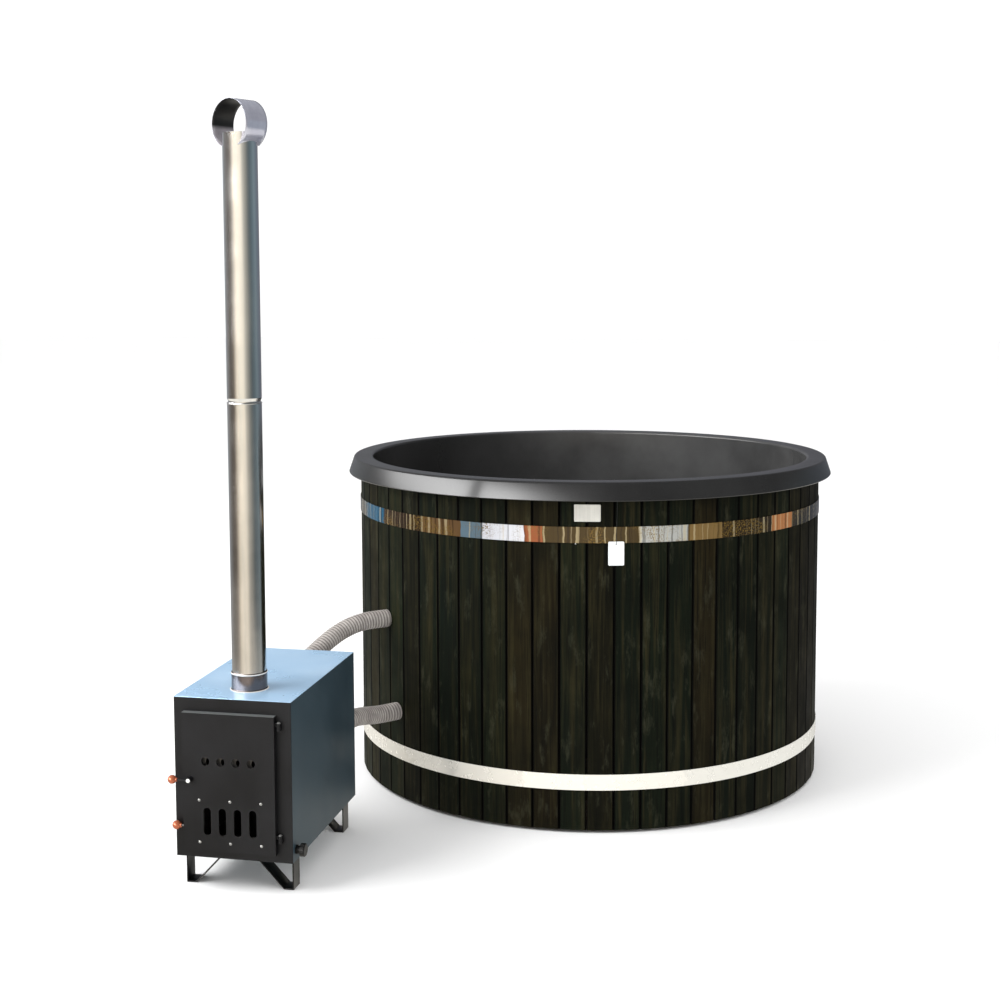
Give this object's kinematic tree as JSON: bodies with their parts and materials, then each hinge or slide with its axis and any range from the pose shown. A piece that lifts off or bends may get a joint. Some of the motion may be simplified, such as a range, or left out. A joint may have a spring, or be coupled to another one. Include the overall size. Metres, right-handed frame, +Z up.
{
  "type": "wooden_hot_tub",
  "caption": "Round stave-walled hot tub with a moulded liner and seat, two steel hoops, and an outside wood-fired heater with a tall chimney joined to it by two ribbed hoses.",
  "frame": {"origin": "On the ground, on the tub's own axis: the middle of the centre bearer's underside.", "axes": "+Z is up along the tub's axis; the heater's fire door faces -Y, so the back of the tub faces +Y; +X is to the right of someone who faces the fire door."},
  "size_m": [1.8125, 2.4375, 2.2105],
  "materials": {
    "timber": "rough",
    "plywood": "rough",
    "stained_wood": "stained",
    "hoop_steel": "polished",
    "zinc": "plated",
    "liner_plastic": "satin",
    "pipe_steel": "brushed",
    "black_plastic": "satin",
    "pale_plastic": "satin",
    "valve_brass": "cast",
    "lever_enamel": "enamel",
    "casing_paint": "satin",
    "top_sheet": "satin",
    "black_paint": "matte",
    "jacket_steel": "rolled",
    "grate_iron": "rough",
    "flue_steel": "polished",
    "rivet_alloy": "bright",
    "copper_ball": "gloss",
    "seal_rope": "woven",
    "hose_plastic": "satin"
  },
  "bodies": {
    "tub": {"bearers": "timber", "floor_deck": "plywood", "staves": "stained_wood", "upper_hoop": "hoop_steel", "lower_hoop": "hoop_steel", "hoop_bolts": "zinc", "liner_rim": "liner_plastic", "liner_skirt": "liner_plastic", "liner_wall": "liner_plastic", "liner_seat": "liner_plastic", "liner_well": "liner_plastic", "liner_floor": "liner_plastic", "hot_inlet": "pipe_steel", "cold_outlet": "pipe_steel", "fitting_nuts": "zinc", "port_screens": "black_plastic", "floor_drain": "pipe_steel", "drain_pipe": "pale_plastic", "valve_body": "valve_brass", "casing": "casing_paint", "top_plate": "top_sheet", "front_frame": "black_paint", "jacket_sides": "jacket_steel", "jacket_back": "jacket_steel", "jacket_roof": "jacket_steel", "ash_floor": "jacket_steel", "grate_ledges": "jacket_steel", "jacket_pipes": "pipe_steel", "fire_grate": "grate_iron", "strap_feet": "black_paint", "drain_stub": "black_paint", "flue_collar": "flue_steel", "lower_flue": "flue_steel", "upper_flue": "flue_steel", "chimney_cap": "flue_steel", "hinge_brackets": "black_paint", "hinge_pins": "zinc", "hot_hose": "hose_plastic", "cold_hose": "hose_plastic", "hose_clamps": "hoop_steel"},
    "fire_door": {"door_panel": "black_paint", "hinge_lugs": "black_paint", "door_baffle": "jacket_steel", "door_seal": "seal_rope", "damper_guides": "jacket_steel", "door_rivets": "rivet_alloy"},
    "latch": {"latch_lever": "black_paint", "latch_knob": "copper_ball"},
    "damper": {"damper_plate": "jacket_steel", "damper_knob": "copper_ball"},
    "drain_handle": {"valve_lever": "lever_enamel"},
    "drain_plug": {"drain_cap": "black_plastic"}
  },
  "joints": [
    {"name": "fire_door_hinge", "type": "hinge", "parent": "tub", "child": "fire_door", "pos_m": [-0.647, -1.449, 0.328], "axis": [0, 0, 1], "range_deg": [0, 115]},
    {"name": "latch_turn", "type": "hinge", "parent": "fire_door", "child": "latch", "pos_m": [-0.905, -1.473, 0.323], "axis": [0, -1, 0], "range_deg": [0, 60]},
    {"name": "damper_slide", "type": "slide", "parent": "fire_door", "child": "damper", "axis": [-1, 0, 0], "range_m": [0, 0.022]},
    {"name": "drain_valve_turn", "type": "hinge", "parent": "tub", "child": "drain_handle", "pos_m": [0.12, 0.88, 0.092], "axis": [0, 0, 1], "range_deg": [0, 90]},
    {"name": "drain_plug_turn", "type": "hinge", "parent": "tub", "child": "drain_plug", "pos_m": [-0.59, -1.41, 0.123], "axis": [1, 0, 0], "continuous": true}
  ]
}
